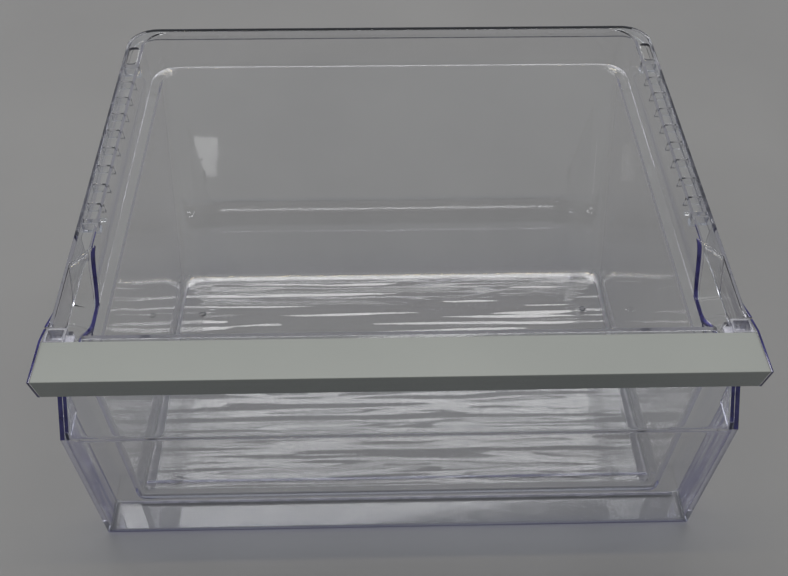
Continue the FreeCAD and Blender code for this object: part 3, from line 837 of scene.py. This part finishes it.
lip_outline = [(HOOD_FRONT, TOP), (7.94, FRONT_LIP_FOOT), (9.44, FRONT_LIP_FOOT),
               (HOOD_FRONT + HOOD_WALL, TOP)]
front_lip = bar("front_lip", lip_outline, "X", -STRIP_HALF, STRIP_HALF)
join(hood, top_plate, front_lip)
for name, depth, foot in (("rear_lip", REAR_LIP, REAR_LIP_FOOT), ("grip_rib", GRIP_RIB, GRIP_RIB_FOOT)):
    join(hood, block(name, (-BACK_HALF, BACK_HALF), depth, (foot, TOP)))
ear_outline = [(EAR_FRONT, EAR_FOOT), (RECESS_BACK, EAR_FOOT), (RECESS_BACK, slope_level(RECESS_BACK)),
               (EAR_FRONT, slope_level(EAR_FRONT))]
cheek_outline = [(1.4, CHEEK_TOP), (5.6, STRIP_FOOT), (9.45, STRIP_FOOT), (6.55, HOOD_LEVEL),
                 (44.0, HOOD_LEVEL), (44.0, TOP), (STRIP_BACK, CHEEK_TOP)]
for side in (-1, 1):
    join(hood, bar("ear", ear_outline, "X", side * EAR_INSIDE, side * PLATE_HALF))
    join(hood, bar("cheek", cheek_outline, "X", side * (HOOD_HALF - HOOD_WALL), side * HOOD_HALF))
soften(hood, 0.3)

# %% [markdown]
# ## The grey strip
#
# The strip is the only part that isn't clear. It is an extruded or moulded channel: a flat
# top that falls a little to the back, and a front lip that leans back under it. Its front
# edge is rounded more than the others.

# %% Strip
STRIP_TOP = 181.6
STRIP_UNDER = 178.9
strip_outline = [(1.7, STRIP_TOP), (5.9, STRIP_FOOT), (7.95, STRIP_FOOT), (4.31, STRIP_UNDER),
                 (STRIP_BACK, STRIP_UNDER), (STRIP_BACK, STRIP_TOP - 1)]
trim = bar("grey_trim_strip", strip_outline, "X", -STRIP_HALF, STRIP_HALF)
take(trim, "EDIT")
pick("edges", at_level(STRIP_TOP))
bpy.ops.mesh.bevel(offset=0.8 * MM, segments=5, affect="EDGES")
bpy.ops.object.mode_set(mode="OBJECT")
soften(trim, 0.2)

# %% [markdown]
# ## Corner blocks
#
# A small hollow block sits behind each end of the strip and hooks over the tub's side wall
# with a catch. It is one block with its top inset and pushed down, and a flat catch.

# %% Blocks
BLOCK_ACROSS = (202.3, 214.85)
BLOCK_ALONG = (33, 44)
BLOCK_WALL = 1.6
BLOCK_FLOOR = 2
BLOCK_TOP = 179.5
BLOCK_BASE = 169.3
CATCH_ACROSS = (196.8, 203.1)
CATCH_ALONG = (33, 39)
CATCH_TOP = 178.6


def corner_block(name, side):
    across = [side * place for place in BLOCK_ACROSS]
    piece = block(name, across, BLOCK_ALONG, (BLOCK_BASE, BLOCK_TOP))
    take(piece, "EDIT")
    pick("faces", lambda face: face.normal.z > 0.9)
    bpy.ops.mesh.inset(thickness=BLOCK_WALL * MM)
    hollow = -(BLOCK_TOP - BLOCK_BASE - BLOCK_FLOOR)
    bpy.ops.mesh.extrude_region_move(TRANSFORM_OT_translate={"value": (0, 0, hollow * MM)})
    bpy.ops.object.mode_set(mode="OBJECT")
    catch_span = [side * place for place in CATCH_ACROSS]
    join(piece, block("catch", catch_span, CATCH_ALONG, (HOOD_LEVEL, CATCH_TOP)))
    return soften(piece, 0.3)


left_block = corner_block("clear_left_block", -1)
right_block = corner_block("clear_right_block", 1)

# %% [markdown]
# ## Finishes
#
# The drawer is moulded in a clear stiff plastic. Looked through square, it has hardly any
# colour, but light that runs along inside a wall comes out at its free edge in deep violet.
# So the clear finish is glass-like with a faint violet absorption, and the free edges have
# painted finishes of their own. Their colours paint in the violet light that comes out at
# the edges, dark lines of shade along them, and streaks of reflected light and shade. All of
# them share a Light Path mix. Lamps and soft light go straight through, which keeps the
# drawer's shadow faint, and light that was caught inside a wall and thrown back twice comes
# out at last.

# %% Node helpers
def new_finish(name):
    finish = bpy.data.materials.new(name)
    finish.use_nodes = True
    tree = finish.node_tree
    shader = tree.nodes["Principled BSDF"]
    place = tree.nodes.new("ShaderNodeTexCoord")
    return finish, tree, shader, place


def noise(tree, place, scale, detail, stretch=(1, 1, 1)):
    """Noise on the piece's own coordinates, stretched by a mapping."""
    mapping = tree.nodes.new("ShaderNodeMapping")
    mapping.inputs["Scale"].default_value = stretch
    pattern = tree.nodes.new("ShaderNodeTexNoise")
    pattern.inputs["Scale"].default_value = scale
    pattern.inputs["Detail"].default_value = detail
    tree.links.new(place.outputs["Object"], mapping.inputs["Vector"])
    tree.links.new(mapping.outputs["Vector"], pattern.inputs["Vector"])
    return pattern


def roughen(tree, pattern, low, high, shader):
    """Let a pattern drive the roughness between two values."""
    ramp = tree.nodes.new("ShaderNodeMapRange")
    ramp.inputs["From Min"].default_value = 0.3
    ramp.inputs["From Max"].default_value = 0.7
    ramp.inputs["To Min"].default_value = low
    ramp.inputs["To Max"].default_value = high
    tree.links.new(pattern.outputs["Fac"], ramp.inputs["Value"])
    tree.links.new(ramp.outputs["Result"], shader.inputs["Roughness"])


def tint(tree, pattern, dark, light, shader, spread_out=0.2):
    """Let a pattern drive the colour between two shades."""
    ramp = tree.nodes.new("ShaderNodeValToRGB")
    ramp.color_ramp.elements[0].position = 0.5 - spread_out
    ramp.color_ramp.elements[1].position = 0.5 + spread_out
    ramp.color_ramp.elements[0].color = (*dark, 1)
    ramp.color_ramp.elements[1].color = (*light, 1)
    tree.links.new(pattern.outputs["Fac"], ramp.inputs["Fac"])
    tree.links.new(ramp.outputs["Color"], shader.inputs["Base Color"])


def bump(tree, pattern, shader, depth):
    relief = tree.nodes.new("ShaderNodeBump")
    relief.inputs["Strength"].default_value = 1
    relief.inputs["Distance"].default_value = depth * MM
    tree.links.new(pattern.outputs["Fac"], relief.inputs["Height"])
    tree.links.new(relief.outputs["Normal"], shader.inputs["Normal"])


def pass_straight(tree, surface, share, passed):
    """Mix a clear window into a surface, for the share of rays that goes straight on."""
    window = tree.nodes.new("ShaderNodeBsdfTransparent")
    window.inputs["Color"].default_value = (*passed, 1)
    mix = tree.nodes.new("ShaderNodeMixShader")
    tree.links.new(share, mix.inputs["Fac"])
    tree.links.new(surface, mix.inputs[1])
    tree.links.new(window.outputs["BSDF"], mix.inputs[2])
    return mix.outputs["Shader"]


THROWN_BACK_TWICE = 1.5


def let_light_through(tree, shader, passed, trapped):
    """Let lamps shine straight through, and let light out that a wall threw back twice."""
    path = tree.nodes.new("ShaderNodeLightPath")
    caught = tree.nodes.new("ShaderNodeMath")
    caught.operation = "GREATER_THAN"
    caught.inputs[1].default_value = THROWN_BACK_TWICE
    tree.links.new(path.outputs["Glossy Depth"], caught.inputs[0])
    either = tree.nodes.new("ShaderNodeMath")
    either.operation = "MAXIMUM"
    tree.links.new(path.outputs["Is Shadow Ray"], either.inputs[0])
    tree.links.new(path.outputs["Is Diffuse Ray"], either.inputs[1])
    surface = pass_straight(tree, shader.outputs["BSDF"], caught.outputs["Value"], trapped)
    surface = pass_straight(tree, surface, either.outputs["Value"], passed)
    tree.links.new(surface, tree.nodes["Material Output"].inputs["Surface"])


# %% Clear plastic
CLEAR_IOR = 1.57
GREY_IOR = 1.49


def clear_plastic():
    finish, tree, shader, place = new_finish("clear_plastic")
    shader.inputs["Transmission Weight"].default_value = 1
    shader.inputs["IOR"].default_value = CLEAR_IOR
    tint(tree, noise(tree, place, 14, 3), (0.94, 0.943, 0.94), (0.972, 0.975, 0.97), shader)
    roughen(tree, noise(tree, place, 60, 4), 0.0, 0.05, shader)
    bump(tree, noise(tree, place, 45, 2), shader, 0.02)
    absorb = tree.nodes.new("ShaderNodeVolumeAbsorption")
    absorb.inputs["Color"].default_value = (0.6, 0.6, 0.85, 1)
    absorb.inputs["Density"].default_value = 16
    tree.links.new(absorb.outputs["Volume"], tree.nodes["Material Output"].inputs["Volume"])
    let_light_through(tree, shader, (0.965, 0.968, 0.97), (0.985, 0.985, 0.992))
    return finish


# %% Free edges
def painted_edge_finish(name, dark, light, clearness, grain, stretch=(1, 1, 1), roughness=0.1):
    """A painted finish for free edges, for the light that comes out there and for their shade."""
    finish, tree, shader, place = new_finish(name)
    shader.inputs["Transmission Weight"].default_value = clearness
    shader.inputs["IOR"].default_value = CLEAR_IOR
    shader.inputs["Roughness"].default_value = roughness
    tint(tree, noise(tree, place, grain, 3, stretch), dark, light, shader, 0.1)
    let_light_through(tree, shader, light, light)
    return finish


# %% Grey plastic
def grey_plastic():
    finish, tree, shader, place = new_finish("grey_plastic")
    tint(tree, noise(tree, place, 9, 5), (0.25, 0.263, 0.25), (0.272, 0.285, 0.27), shader)
    roughen(tree, noise(tree, place, 700, 3), 0.34, 0.46, shader)
    bump(tree, noise(tree, place, 1400, 3), shader, 0.012)
    shader.inputs["IOR"].default_value = GREY_IOR
    return finish


CLEAR = clear_plastic()
# Painted light: deep violet on free edges, where light that ran inside a wall comes out.
PAINTED_VIOLET = painted_edge_finish("painted_violet_edge", (0.012, 0.009, 0.085), (0.03, 0.026, 0.16), 0.2, 90)
# Painted shade: dark lines along the rim's edges, the slots, the rib ends, the marks and the cheek tops.
PAINTED_SHADE_LINE = painted_edge_finish("painted_shade_line", (0.05, 0.05, 0.065), (0.11, 0.11, 0.14), 0.25, 120)
SATIN = painted_edge_finish("satin_round", (0.7, 0.7, 0.76), (0.94, 0.94, 0.96), 1, 90, roughness=0.45)
# Painted shade: a dull dark line at the foot of the front plate and on the cover's sill, in place of a
# bright reflection there.
SILL = painted_edge_finish("painted_sill_shade", (0.12, 0.12, 0.16), (0.22, 0.22, 0.28), 0.3, 90, roughness=0.5)
# Painted light: a pale violet, streaked line along the foot of the cover's front edge.
PAINTED_FRONT_LINE = painted_edge_finish("painted_front_line", (0.42, 0.42, 0.62), (0.78, 0.78, 0.9), 0.85, 120, (0.06, 1, 3))
# Painted light and shade: grey streaks on the clear corner blocks, in place of their reflections and shade.
PAINTED_BLOCK_STREAKS = painted_edge_finish("painted_block_streaks", (0.45, 0.45, 0.53), (0.85, 0.85, 0.9), 0.85, 140, (0.3, 1, 2), 0.25)
# Painted light: pale violet lines at the front of the floor, the front plate's sides, the cover's foot and
# the ears.
PALE_VIOLET = painted_edge_finish("pale_violet_edge", (0.16, 0.16, 0.3), (0.3, 0.3, 0.48), 0.6, 90)
# Painted light and shade: upright streaks on the cover's side walls.
STREAKY = painted_edge_finish("painted_wall_streaks", (0.36, 0.36, 0.66), (0.97, 0.97, 0.99), 1, 60, (1, 11, 0.2))
# Painted shade: grey-violet streaks on the rim's top over the ribs.
PAINTED_RIM_SHADE = painted_edge_finish("rim_top", (0.66, 0.66, 0.76), (0.96, 0.96, 0.98), 1, 110, (5, 0.12, 5))
# Painted light and shade: streaks inside the cheeks and on the ends of the flange.
PAINTED_RIM_STREAKS = painted_edge_finish("painted_rim_streaks", (0.5, 0.5, 0.56), (0.93, 0.93, 0.95), 1, 110, (5, 0.12, 5))
GREY = grey_plastic()

# %% [markdown]
# Faces that are free edges are picked by place and direction, and light and shade are painted
# on them. The lips of the dips and the ends of the cover and the hood are painted deep violet,
# for the light that comes out there. The front of the floor, the sides of the front plate, the
# foot of the cover and the ears are painted pale violet, and the edges round the rim get a
# painted dark shade. The foot of the front plate and the cover's sill are painted dull and
# dark, and the cover's side walls have painted upright streaks of light and shade. The rim's
# top over the ribs gets painted grey-violet shade, and the insides of the cheeks and the ends
# of the flange get painted streaks. The clear corner blocks are painted grey with streaks in
# place of their reflections and shade. Each test gets a face and the face's middle.

# %% Tests for the tub's faces
SIDE_WALLS = 205
INSIDE_CHEEK = 210.9
BAND_FRONT = 89


def outwards(face, place):
    return face.normal.x * (1 if place.x > 0 else -1)


def on_band_foot(place):
    return place.z < BAND_FOOT + 0.5 and place.y > BAND_FRONT


def on_dip_lip(face, place):
    in_dip = FLANGE_FRONT < place.y < DIP_START and not on_band_foot(place)
    return in_dip and abs(abs(place.x) - DIP_INNER) < 0.3 and outwards(face, place) < -0.5


def on_dip_edge(face, place):
    in_wall = DIP_INNER - 0.3 < abs(place.x) < RIM_WALL + RIM_LEAN * (place.z - BAND_FOOT)
    in_dip = FLANGE_FRONT < place.y < VIOLET_END and place.z > LEDGE_LEVEL - 0.3
    return in_wall and in_dip and face.normal.z > 0.2 and not on_band_foot(place)


def on_flange_end(face, place):
    in_flange = 201.5 < abs(place.x) < 211 and 100 < place.y < 115
    return in_flange and place.z > 176 and face.normal.y < -0.3


def on_cheek_top(face, place):
    on_cheek = abs(place.x) > INSIDE_CHEEK and 50 < place.y < 97
    return on_cheek and 158.5 < place.z < 179 and face.normal.z > 0.2


def on_gusset(face, place):
    return abs(place.x) > 213.6 and face.normal.z > 0.3


def on_floor_front(face, place):
    return place.z < 4 and FLOOR_LINE[0] < place.y < FLOOR_LINE[1] and abs(face.normal.z) > 0.9


def in_plate(place):
    return BIN_FRONT - 0.1 < place.y < BIN_FRONT + WALL + 0.1


def on_plate_foot(face, place):
    at_foot = PLATE_BASE - 0.1 < place.z < PLATE_BASE + 0.3
    return in_plate(place) and at_foot and face.normal.z < -0.3


def on_plate_side(face, place):
    at_side = abs(place.x) > SIDE_WALLS and place.z < HOOD_LEVEL
    return in_plate(place) and at_side and outwards(face, place) > 0.7


def on_slot(face, place):
    across = SLOT_ACROSS[0] - 0.1 < abs(place.x) < SLOT_ACROSS[1] + 0.1
    along = SLOT_ALONG[0] - 0.1 < place.y < SLOT_ALONG[1] + 0.1
    return across and along and place.z > UNDER_FLANGE and abs(face.normal.z) < 0.2


def faces_down_low(face, place):
    """Is this a lower face of the lip or of a rib?"""
    return LIP_FOOT - 0.4 < place.z < LIP_FOOT + 0.6 and face.normal.z < -0.3


def on_lip_foot(face, place):
    return (abs(place.x) > 211 or place.y > 356) and faces_down_low(face, place)


def on_rib_end(face, place):
    near_wall = RIM_WALL < abs(place.x) < RIB_DASH
    return near_wall and 150 < place.y < 292 and faces_down_low(face, place)


def on_floor_margin(face, place):
    in_margin = 179 < abs(place.x) < 189 and 37 < place.y < 245
    return in_margin and 2 < place.z < 6 and face.normal.z > 0.3


def on_mark(face, place):
    across = abs(abs(place.x) - MARKS_ACROSS) < 3
    along = min(abs(place.y - mark) for mark in MARKS_ALONG) < 3
    return across and along and place.z > WALL + 0.3 and face.normal.z < 0.95


def on_rim_top(face, place):
    in_flange = abs(place.x) > RIB_DASH and VIOLET_END < place.y < 345
    return in_flange and place.z > RIM_LEVEL - 0.3 and face.normal.z > 0.95


def on_cheek_inside(face, place):
    on_cheek = INSIDE_CHEEK < abs(place.x) < 211.5 and 44 < place.y < CHEEK_BACK
    return on_cheek and outwards(face, place) < -0.7


def on_rim_outside(face, place):
    at_edge = abs(place.x) > 213 or place.y > 337
    return at_edge and place.z > UNDER_FLANGE and (face.normal.y > 0.4 or outwards(face, place) > 0.4)


# %% Tests for the faces of the cover and the hood
def on_slope(face):
    return face.normal.z > 0.3 and face.normal.y < -0.3


def on_cover_end(face, place):
    return on_slope(face) and place.z > CREASE_LEVEL and abs(place.x) > COVER_END


def on_cover_foot(face, place):
    return place.z < 0.4 and place.y < COVER_THICK and face.normal.z < -0.3


def on_cover_sill(face, place):
    on_sill = 2 < place.z < COVER_THICK + 0.1 and place.y > SILL_FRONT
    return on_sill and (face.normal.z > 0.3 or face.normal.y > 0.3)


def on_front_foot(face, place):
    return 0.2 < place.z < FRONT_FOOT and place.y < 0.6 and face.normal.y < -0.3


def on_cover_side(face, place):
    return abs(place.x) > SIDE_WALLS and abs(face.normal.x) > 0.9


def on_hood_foot(face, place):
    in_recess = RECESS_BACK - 3 < place.y < BIN_FRONT and place.z < 150
    return in_recess and abs(place.x) < SIDE_WALLS and face.normal.z < -0.3


def on_ear_edge(face, place):
    in_ear = SIDE_WALLS < abs(place.x) < 209 and place.z < 150
    return in_ear and abs(face.normal.x) < 0.9 and face.normal.z < 0.2


def on_hood_end(face, place):
    along_cheek = abs(place.x) > 215.1 and abs(face.normal.x) < 0.8
    return along_cheek or (on_slope(face) and place.z < 152)


# %% Give the finishes
# Each row paints light and shade on the faces that its tests pick.
EDGE_FINISHES = (
    (tub, PAINTED_RIM_STREAKS, (on_cheek_inside, on_flange_end)),
    (tub, PAINTED_RIM_SHADE, (on_rim_top,)),
    (tub, SATIN, (on_floor_margin,)),
    (tub, PAINTED_VIOLET, (on_dip_lip, on_dip_edge, on_gusset)),
    (tub, PALE_VIOLET, (on_floor_front, on_plate_side)),
    (tub, SILL, (on_plate_foot,)),
    (tub, PAINTED_SHADE_LINE, (on_slot, on_lip_foot, on_rim_outside, on_rib_end, on_mark, on_cheek_top)),
    (cover, STREAKY, (on_cover_side,)),
    (cover, PAINTED_VIOLET, (on_cover_end,)),
    (cover, PALE_VIOLET, (on_cover_foot,)),
    (cover, SILL, (on_cover_sill,)),
    (cover, PAINTED_FRONT_LINE, (on_front_foot,)),
    (hood, SATIN, (on_hood_foot,)),
    (hood, PALE_VIOLET, (on_ear_edge,)),
    (hood, PAINTED_VIOLET, (on_hood_end,)),
)
PLAIN_FINISHES = (
    (tub, CLEAR),
    (cover, CLEAR),
    (hood, CLEAR),
    (trim, GREY),
    # The clear corner blocks get painted grey streaks in place of their reflections and shade.
    (left_block, PAINTED_BLOCK_STREAKS),
    (right_block, PAINTED_BLOCK_STREAKS),
)
for piece, finish in PLAIN_FINISHES:
    piece.data.materials.clear()
    piece.data.materials.append(finish)
for piece, finish, tests in EDGE_FINISHES:
    piece.data.materials.append(finish)
    take(piece, "EDIT")
    for test in tests:
        count = pick("faces", lambda face: test(face, middle(face)))
        print(piece.name, finish.name, test.__name__, count, "faces")
        piece.active_material_index = len(piece.data.materials) - 1
        bpy.ops.object.material_slot_assign()
    bpy.ops.object.mode_set(mode="OBJECT")

# %% [markdown]
# ## Tie the pieces to the frame
#
# Each piece stands for the CAD node of the same part and rides on the one body. Each row
# also names the record's slot for the part's finish.

# %% Ride and replace
TIES = (
    (tub, "tub", "clear_plastic"),
    (cover, "front_cover", "clear_plastic"),
    (hood, "handle_hood", "clear_plastic"),
    (trim, "handle_trim", "grey_trim"),
    (left_block, "left_corner_block", "clear_plastic"),
    (right_block, "right_corner_block", "clear_plastic"),
)
for piece, node, slot in TIES:
    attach(piece, "root")
    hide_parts(node)
    print(piece.name, "stands for", node)

# %% [markdown]
# ## Floor, light and camera
#
# The drawer stands on a plain grey table in a dim room. A row of long soft lamps hangs high
# up behind it, then one narrow warm lamp, and a broad weak one straight above. A weak window
# lamp stands at the left, and a small window in front shows as a reflection in the back wall.
# The camera looks down steeply from the front, and its place was worked out from the
# drawer's own corners.

# %% Table
put_down_all()
bpy.ops.mesh.primitive_plane_add(size=8, location=(0, 0, 0))
table = bpy.context.object
table.name = "table"
cloth, tree, shader, place = new_finish("table_cloth")
tint(tree, noise(tree, place, 3, 4), (0.228, 0.226, 0.230), (0.254, 0.252, 0.255), shader)
shader.inputs["Roughness"].default_value = 0.8
table.data.materials.append(cloth)

# %% Lamps and room
def soft_lamp(name, place, target, width, height, power):
    lamp_data = bpy.data.lights.new(name, "AREA")
    lamp_data.shape = "RECTANGLE"
    lamp_data.size = width
    lamp_data.size_y = height
    lamp_data.energy = power
    lamp = bpy.data.objects.new(name, lamp_data)
    bpy.context.scene.collection.objects.link(lamp)
    lamp.location = place
    lamp.rotation_euler = (Vector(target) - Vector(place)).to_track_quat("-Z", "Y").to_euler()
    return lamp


LAMP_DISTANCE = 6.0
NARROW = 0.5
WARM = (1, 0.86, 0.55)
LAMPS = (
    (59.6, 5.4, 0.84, 90, 4),
    (68.5, 5.4, 0.6, 45, 0),
    (75.5, 5.4, 0.6, 45, 0),
    (84, 5.0, 0.12, 45, 0),
    (88.5, 4.0, 4.0, 18, 0),
)
for index, (elevation, width, height, power, tilt) in enumerate(LAMPS):
    angle = math.radians(elevation)
    lamp_place = (0, LAMP_DISTANCE * math.cos(angle), LAMP_DISTANCE * math.sin(angle))
    lamp = soft_lamp(f"ceiling_lamp_{index + 1}", lamp_place, (0, 0, 0), width, height, power)
    lamp.rotation_euler.rotate_axis("Z", math.radians(tilt))
    if height < NARROW:
        lamp.data.color = WARM
soft_lamp("window_lamp", (-1.6, 0.2, 1.3), (0, 0, 0), 0.8, 1.2, 4)
soft_lamp("front_window", (-0.504, -1.593, 1.051), (-0.16, 0.126, 0.089), 0.068, 0.11, 0.03)
room = bpy.data.worlds.new("room")
room.use_nodes = True
room.node_tree.nodes["Background"].inputs["Color"].default_value = (0.9, 0.95, 1, 1)
room.node_tree.nodes["Background"].inputs["Strength"].default_value = 0.34
bpy.context.scene.world = room
bpy.context.scene.view_settings.view_transform = "Standard"

# %% Camera
FOCAL_PIXELS = 947.64
IMAGE_WIDTH = 788
PITCH = 0.8518
YAW = 0.0312
ROLL = -0.0104
CAMERA_PLACE = at(-15.822, -320.531, 628.794)
forward = Vector((math.sin(YAW) * math.cos(PITCH), math.cos(YAW) * math.cos(PITCH), -math.sin(PITCH)))
level_right = Vector((math.cos(YAW), -math.sin(YAW), 0))
level_down = forward.cross(level_right)
image_right = level_right * math.cos(ROLL) + level_down * math.sin(ROLL)
image_down = level_down * math.cos(ROLL) - level_right * math.sin(ROLL)
turn = Matrix((image_right, -image_down, -forward)).transposed()
camera_data = bpy.data.cameras.new("camera")
camera_data.sensor_width = 36
camera_data.lens = FOCAL_PIXELS * camera_data.sensor_width / IMAGE_WIDTH
camera = bpy.data.objects.new("camera", camera_data)
camera.matrix_world = Matrix.Translation(CAMERA_PLACE) @ turn.to_4x4()
bpy.context.scene.collection.objects.link(camera)
bpy.context.scene.camera = camera
print("lens", round(camera_data.lens, 2), "mm, camera at", tuple(round(value, 3) for value in CAMERA_PLACE))
